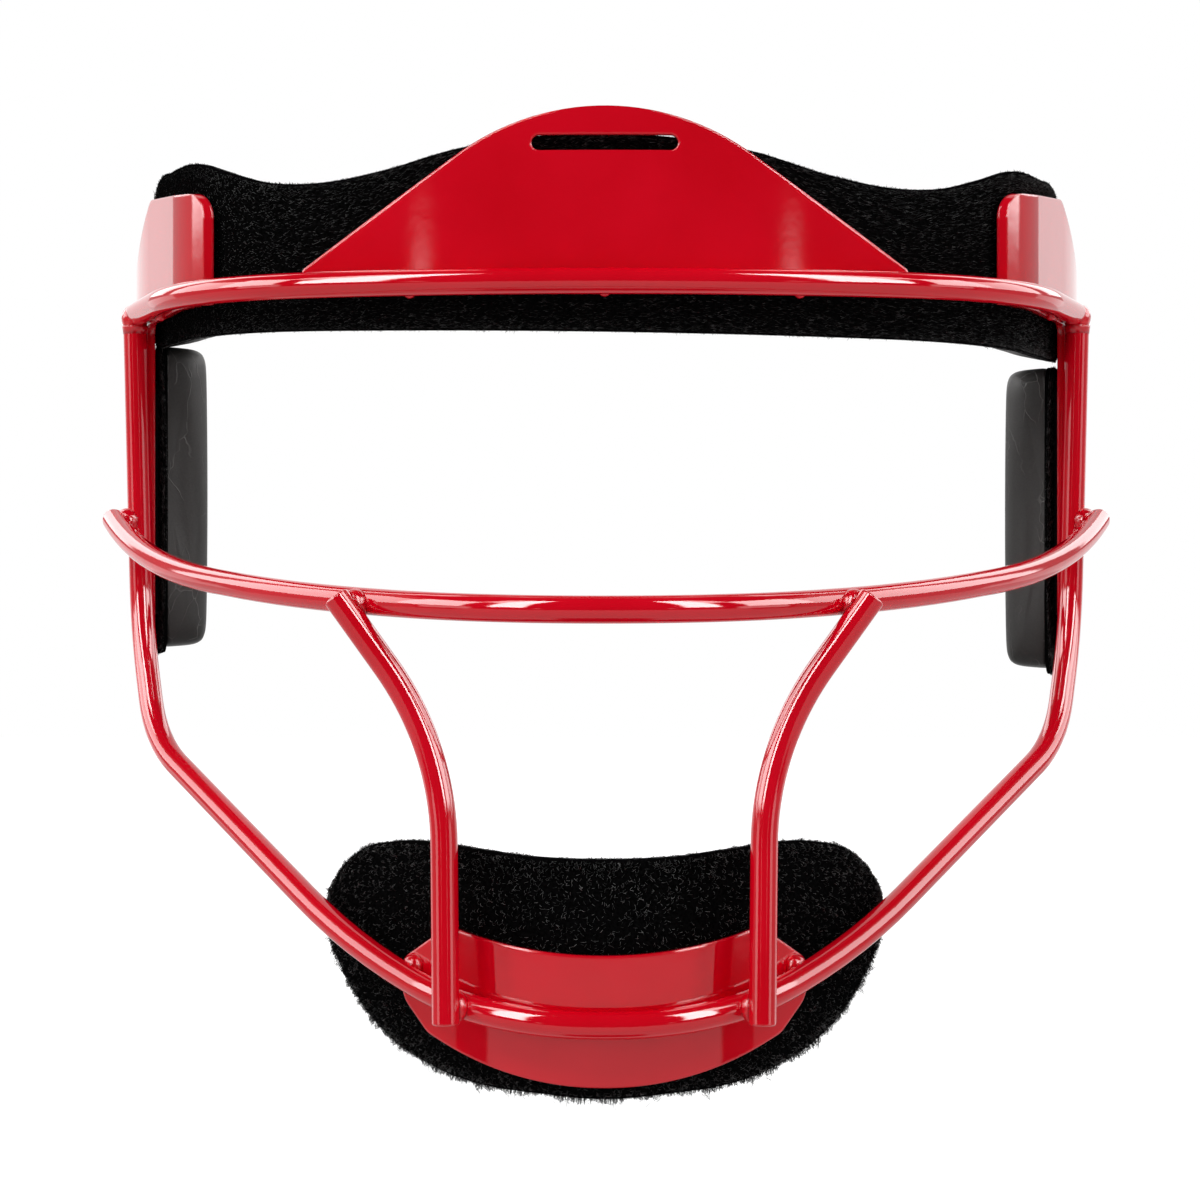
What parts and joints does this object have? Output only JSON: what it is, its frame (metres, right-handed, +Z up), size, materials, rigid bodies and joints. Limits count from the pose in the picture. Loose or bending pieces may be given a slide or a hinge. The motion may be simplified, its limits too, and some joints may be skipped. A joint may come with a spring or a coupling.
{
  "type": "softball face guard",
  "caption": "Open face guard of welded round bars and sheet plates in red coated steel, with soft pads at the brow, the temples and the chin that pull off for washing.",
  "frame": {"origin": "middle of the space that the wearer's head fills, level with the middle of the side pads", "axes": "+Z up, -Y the way the wearer faces, so +X is on the right of the picture"},
  "size_m": [0.213, 0.1495, 0.1846],
  "materials": {
    "red_steel": "gloss",
    "hook_tape": "matte",
    "loop_fabric": "matte",
    "foam": "matte",
    "cover_fabric": "satin"
  },
  "bodies": {
    "frame": {"brow_bar": "red_steel", "jaw_bar": "red_steel", "cheek_bar": "red_steel", "left_mouth_bar": "red_steel", "right_mouth_bar": "red_steel", "forehead_plate": "red_steel", "left_temple_plate": "red_steel", "right_temple_plate": "red_steel", "chin_plate": "red_steel", "bar_welds": "red_steel", "plate_welds": "red_steel", "forehead_hook_tape": "hook_tape", "left_lobe_hook_tape": "hook_tape", "right_lobe_hook_tape": "hook_tape", "left_leg_hook_tape": "hook_tape", "right_leg_hook_tape": "hook_tape", "chin_hook_tape": "hook_tape"},
    "forehead_pad": {"forehead_pad_loop": "loop_fabric", "forehead_pad_foam": "foam", "forehead_pad_cover": "cover_fabric"},
    "left_side_pad": {"left_side_pad_loop": "loop_fabric", "left_side_pad_foam": "foam", "left_side_pad_cover": "cover_fabric"},
    "right_side_pad": {"right_side_pad_loop": "loop_fabric", "right_side_pad_foam": "foam", "right_side_pad_cover": "cover_fabric"},
    "chin_pad": {"chin_pad_loop": "loop_fabric", "chin_pad_foam": "foam", "chin_pad_cover": "cover_fabric"}
  },
  "joints": [
    {"name": "forehead_pad_release", "type": "slide", "parent": "frame", "child": "forehead_pad", "axis": [0, 0.989, 0.148], "range_m": [0, 0.07]},
    {"name": "left_side_pad_release", "type": "slide", "parent": "frame", "child": "left_side_pad", "axis": [0.9651, 0.262, 0], "range_m": [0, 0.025]},
    {"name": "right_side_pad_release", "type": "slide", "parent": "frame", "child": "right_side_pad", "axis": [-0.9651, 0.262, 0], "range_m": [0, 0.025]},
    {"name": "chin_pad_release", "type": "slide", "parent": "frame", "child": "chin_pad", "axis": [0, 1, 0], "range_m": [0, 0.05]}
  ]
}
